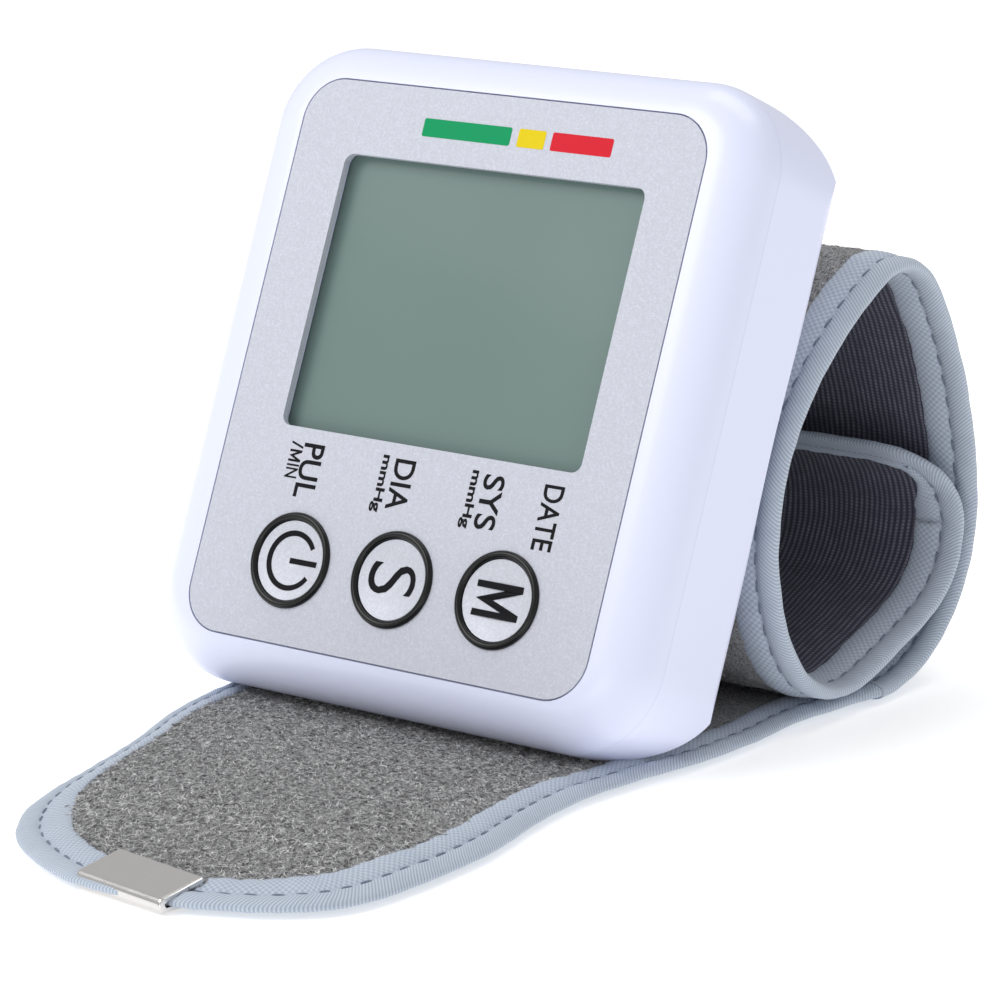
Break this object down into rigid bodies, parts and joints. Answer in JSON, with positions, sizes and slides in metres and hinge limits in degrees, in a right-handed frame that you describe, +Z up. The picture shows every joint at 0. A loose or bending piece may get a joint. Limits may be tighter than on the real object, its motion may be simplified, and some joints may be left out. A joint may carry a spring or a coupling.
{
  "type": "wrist blood pressure monitor",
  "caption": "Wrist blood pressure monitor: a white display case with round buttons on a fabric cuff curled into a loop, its bound free strap lying out in front.",
  "frame": {"origin": "middle of the footprint's bounding box, on the floor under the cuff", "axes": "+Z up, +X along the wrist loop's axis, -Y the way the free strap points; the display faces -Y and up"},
  "size_m": [0.0732, 0.1332, 0.076],
  "materials": {
    "case_plastic": "smooth satin-gloss moulding",
    "silver_panel": "fine metallic fleck, satin",
    "button_silver": "fine metallic fleck, satin",
    "lcd": "unlit reflective display",
    "strip_rubber": "matt",
    "board": "solder mask",
    "black_plastic": "moulded",
    "sensor_body": "moulded",
    "plated_steel": "nickel plated",
    "ring_black": "polished",
    "tube_rubber": "silicone",
    "cell_jacket": "printed sleeve",
    "saddle_plastic": "moulded",
    "fleece": "brushed loop pile",
    "former_plastic": "sheet",
    "bladder_rubber": "matt",
    "lining": "fine ribbed knit",
    "binding": "twill tape",
    "hook_tape": "hook tape",
    "clip_steel": "polished steel"
  },
  "bodies": {
    "body": {"front_case": "case_plastic", "rear_case": "case_plastic", "front_panel": "silver_panel", "lcd_glass": "lcd", "lcd_strips": "strip_rubber", "main_board": "board", "controller_chip": "black_plastic", "pressure_sensor": "sensor_body", "buzzer": "black_plastic", "key_domes": "plated_steel", "button_rings": "ring_black", "air_pump": "black_plastic", "pump_motor": "plated_steel", "release_valve": "plated_steel", "air_tubes": "tube_rubber", "air_nozzle": "sensor_body", "cell_lower": "cell_jacket", "cell_upper": "cell_jacket", "cell_contacts": "plated_steel", "contact_springs": "plated_steel", "case_screws": "plated_steel", "cuff_saddle": "saddle_plastic", "saddle_screws": "plated_steel", "cuff_fleece": "fleece", "cuff_former": "former_plastic", "air_bladder": "bladder_rubber", "cuff_lining": "lining", "cuff_binding": "binding", "hook_patch": "hook_tape", "strap_fleece": "fleece", "strap_core": "former_plastic", "strap_backing": "fleece", "strap_binding": "binding"},
    "power_key": {"power_button": "button_silver"},
    "set_key": {"set_button": "button_silver"},
    "memory_key": {"memory_button": "button_silver"},
    "door": {"battery_door": "case_plastic"},
    "flap": {"flap_fleece": "fleece", "flap_core": "former_plastic", "flap_backing": "fleece", "flap_binding": "binding", "end_clip": "clip_steel"}
  },
  "joints": [
    {"name": "power_press", "type": "slide", "parent": "body", "child": "power_key", "axis": [0, 0.9252, -0.3795], "range_m": [0, 0.0006], "stiffness_N_per_m": 2500, "springref_m": -0.0002},
    {"name": "set_press", "type": "slide", "parent": "body", "child": "set_key", "axis": [0, 0.9252, -0.3795], "range_m": [0, 0.0006], "stiffness_N_per_m": 2500, "springref_m": -0.0002},
    {"name": "memory_press", "type": "slide", "parent": "body", "child": "memory_key", "axis": [0, 0.9252, -0.3795], "range_m": [0, 0.0006], "stiffness_N_per_m": 2500, "springref_m": -0.0002},
    {"name": "door_slide", "type": "slide", "parent": "body", "child": "door", "axis": [-1, 0, 0], "range_m": [0, 0.03]},
    {"name": "flap_fold", "type": "hinge", "parent": "body", "child": "flap", "pos_m": [0, -0.01, 0.0018], "axis": [-1, 0, 0], "range_deg": [0, 60]}
  ]
}
